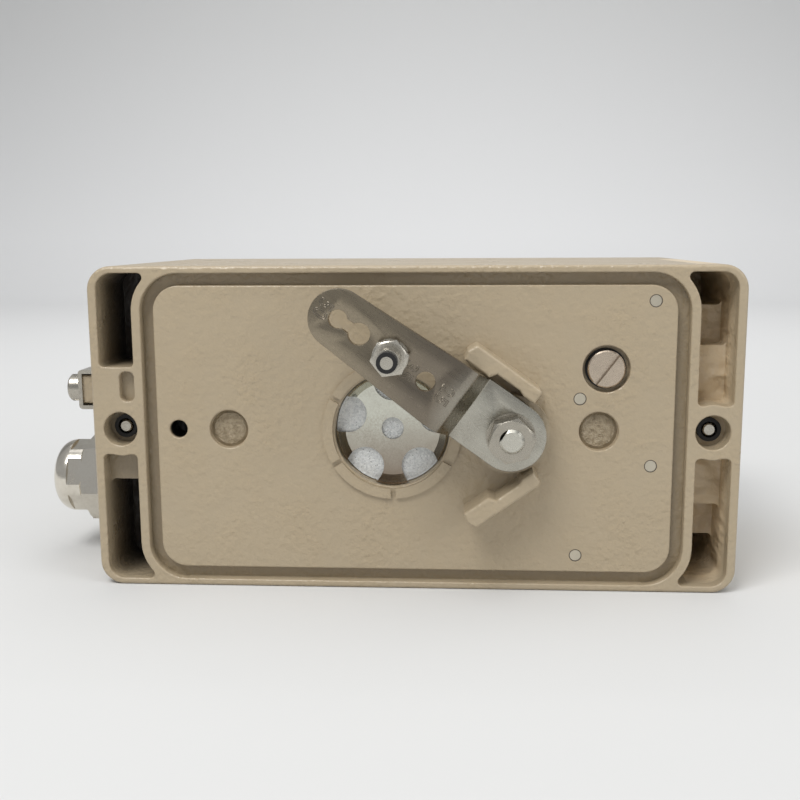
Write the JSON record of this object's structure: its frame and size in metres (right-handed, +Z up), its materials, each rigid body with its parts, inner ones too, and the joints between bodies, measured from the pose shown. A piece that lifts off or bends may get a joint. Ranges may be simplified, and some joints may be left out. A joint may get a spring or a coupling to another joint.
{
  "type": "valve positioner",
  "caption": "Box-shaped valve positioner with a sprung, stepped feedback lever and follower pin on its mounting face, a vent, a cable gland, air ports and a lift-off front cover.",
  "frame": {"origin": "middle of the mounting face's plane, half way between the two mounting screws", "axes": "-Y out of the mounting face towards the valve, +X to the right seen from there, +Z up"},
  "size_m": [0.1844, 0.1128, 0.082],
  "materials": {
    "case_paint": "satin",
    "stainless": "satin",
    "plug_aluminium": "satin",
    "nickel_brass": "satin",
    "brass": "satin",
    "black_rubber": "matte",
    "bush_plastic": "matte",
    "black_plastic": "matte",
    "white_plastic": "matte",
    "green_plastic": "matte",
    "board_green": "satin",
    "panel_grey": "matte",
    "filter_foam": "matte",
    "magnet": "matte",
    "clear_window": "gloss"
  },
  "bodies": {
    "case": {"air_booster": "plug_aluminium", "blanking_gasket": "black_rubber", "blanking_plug": "nickel_brass", "block_screws": "stainless", "board_components": "black_plastic", "board_screws": "stainless", "booster_cap": "plug_aluminium", "button_switch": "black_plastic", "changeover_body": "black_plastic", "channel_plugs": "plug_aluminium", "display_frame": "black_plastic", "display_glass": "clear_window", "earth_clamp": "stainless", "earth_screw": "stainless", "earth_spring_washer": "stainless", "encoder_body": "black_plastic", "gland_body": "nickel_brass", "gland_cap": "nickel_brass", "gland_gasket": "black_rubber", "gland_seal": "black_rubber", "housing": "case_paint", "main_board": "board_green", "mounting_screws": "stainless", "operator_panel": "panel_grey", "panel_screws": "stainless", "plug_screw": "stainless", "plug_seal": "black_rubber", "port_inserts": "stainless", "port_strainers": "stainless", "position_sensor": "black_plastic", "pressure_converter": "plug_aluminium", "return_spring": "stainless", "screw_seal_rings": "black_rubber", "shaft_bush_inner": "bush_plastic", "shaft_bush_outer": "bush_plastic", "shaft_seal": "black_rubber", "supply_regulator": "brass", "terminal_block": "green_plastic", "terminal_screws": "stainless", "vent_foam": "filter_foam", "vent_retainer": "stainless"},
    "lever": {"lever_shaft": "stainless", "lever": "stainless", "lever_washer": "stainless", "lever_nut": "stainless", "follower_pin": "stainless", "pin_end_ring": "black_rubber", "pin_nut": "stainless", "shaft_circlip": "stainless", "magnet_holder": "black_plastic", "sensor_magnet": "magnet"},
    "cover": {"front_cover": "case_paint", "cover_window": "clear_window", "cover_gasket": "black_rubber", "cover_screws": "stainless"},
    "knob_stem": {"encoder_shaft": "stainless"},
    "knob": {"rotary_knob": "black_plastic"},
    "button": {"init_button": "white_plastic"},
    "changeover": {"changeover_slider": "white_plastic"},
    "restrictor": {"restrictor_screw": "brass"}
  },
  "joints": [
    {"name": "lever_swing", "type": "hinge", "parent": "case", "child": "lever", "pos_m": [0.0243, 0, 0], "axis": [0, -1, 0], "range_deg": [0, 71], "stiffness_Nm_per_rad": 0.03, "springref_deg": -34.38, "deforming": ["return_spring"]},
    {"name": "cover_lift", "type": "slide", "parent": "case", "child": "cover", "axis": [0, 1, 0], "range_m": [0, 0.04]},
    {"name": "knob_press", "type": "slide", "parent": "case", "child": "knob_stem", "axis": [0, -1, 0], "range_m": [0, 0.0008], "stiffness_N_per_m": 600, "springref_m": -0.0015},
    {"name": "knob_turn", "type": "hinge", "parent": "knob_stem", "child": "knob", "pos_m": [0.046, 0.06, 0.016], "axis": [0, 1, 0], "continuous": true},
    {"name": "button_press", "type": "slide", "parent": "case", "child": "button", "axis": [0, -1, 0], "range_m": [0, 0.0008], "stiffness_N_per_m": 600, "springref_m": -0.0015},
    {"name": "changeover_slide", "type": "slide", "parent": "case", "child": "changeover", "axis": [1, 0, 0], "range_m": [0, 0.006]},
    {"name": "restrictor_turn", "type": "hinge", "parent": "case", "child": "restrictor", "pos_m": [0.0385, 0.055, -0.024], "axis": [0, 1, 0], "range_deg": [0, 720]}
  ]
}
